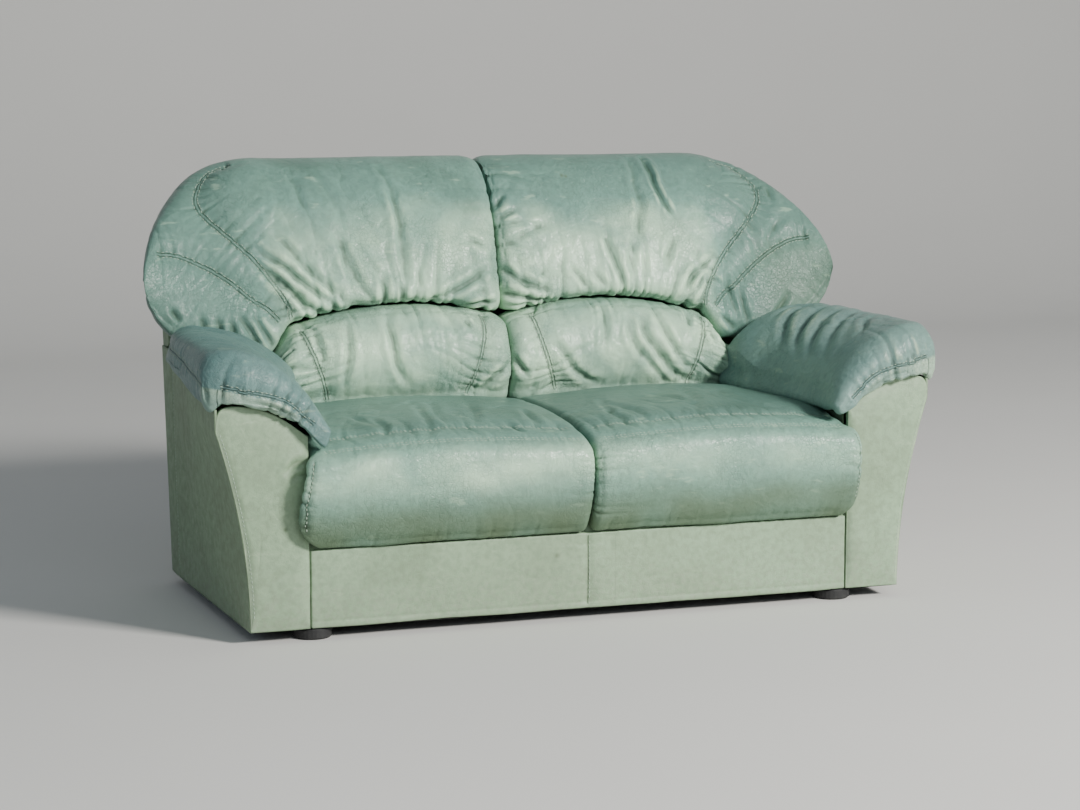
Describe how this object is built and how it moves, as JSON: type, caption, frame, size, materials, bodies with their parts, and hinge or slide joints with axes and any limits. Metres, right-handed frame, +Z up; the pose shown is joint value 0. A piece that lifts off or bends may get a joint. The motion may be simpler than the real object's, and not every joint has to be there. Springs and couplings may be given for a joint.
{
  "type": "two-seat leather sofa",
  "caption": "Worn sage-green leather loveseat with padded wings, lumbar rolls, pillow arm pads and overhanging seat fronts on squat round feet.",
  "frame": {"origin": "on the floor, under the middle of the sofa", "axes": "+Z up, the sitter faces -Y, +X is on the right of someone facing the front"},
  "size_m": [1.68, 0.948, 0.948],
  "materials": {
    "cushion_leather": "worn satin sage-green leather, polished paler where it is sat on and darker in the creases",
    "pad_leather": "worn satin leather, darker and bluer green than the seats",
    "panel_vinyl": "smoother, paler grey-green coated cover with faint stains and scuffs",
    "dust_cloth": "matt black non-woven cloth",
    "frame_wood": "bare pine and plywood",
    "spring_steel": "dull drawn steel wire",
    "webbing": "grey woven elastic",
    "foot_plastic": "black moulded plastic",
    "screw_steel": "zinc-plated steel"
  },
  "bodies": {
    "root": {"seat_cushion_left": "cushion_leather", "seat_cushion_right": "cushion_leather", "lumbar_cushion_left": "cushion_leather", "lumbar_cushion_right": "cushion_leather", "back_cushion_left": "cushion_leather", "back_cushion_right": "cushion_leather", "arm_pad_left": "pad_leather", "arm_pad_right": "pad_leather", "arm_front_panel_left": "panel_vinyl", "arm_front_panel_right": "panel_vinyl", "arm_outer_panel_left": "panel_vinyl", "arm_outer_panel_right": "panel_vinyl", "arm_inner_panel_left": "panel_vinyl", "arm_inner_panel_right": "panel_vinyl", "back_side_panel_left": "panel_vinyl", "back_side_panel_right": "panel_vinyl", "side_rail_left": "frame_wood", "side_rail_right": "frame_wood", "arm_front_board_left": "frame_wood", "arm_front_board_right": "frame_wood", "arm_top_rail_left": "frame_wood", "arm_top_rail_right": "frame_wood", "arm_rear_post_left": "frame_wood", "arm_rear_post_right": "frame_wood", "wing_board_left": "frame_wood", "wing_board_right": "frame_wood", "front_apron": "panel_vinyl", "back_outer_panel": "panel_vinyl", "dust_cover": "dust_cloth", "front_rail": "frame_wood", "rear_rail": "frame_wood", "centre_rail": "frame_wood", "lumbar_rail": "frame_wood", "back_top_rail": "frame_wood", "back_post_left": "frame_wood", "back_post_centre": "frame_wood", "back_post_right": "frame_wood", "seat_spring_1": "spring_steel", "seat_spring_2": "spring_steel", "seat_spring_3": "spring_steel", "seat_spring_4": "spring_steel", "seat_spring_5": "spring_steel", "seat_spring_6": "spring_steel", "back_strap_1": "webbing", "back_strap_2": "webbing", "back_strap_3": "webbing", "back_strap_4": "webbing", "corner_block_front_left": "frame_wood", "foot_front_left": "foot_plastic", "foot_screw_front_left": "screw_steel", "corner_block_front_right": "frame_wood", "foot_front_right": "foot_plastic", "foot_screw_front_right": "screw_steel", "corner_block_rear_left": "frame_wood", "foot_rear_left": "foot_plastic", "foot_screw_rear_left": "screw_steel", "corner_block_rear_right": "frame_wood", "foot_rear_right": "foot_plastic", "foot_screw_rear_right": "screw_steel"}
  },
  "joints": []
}
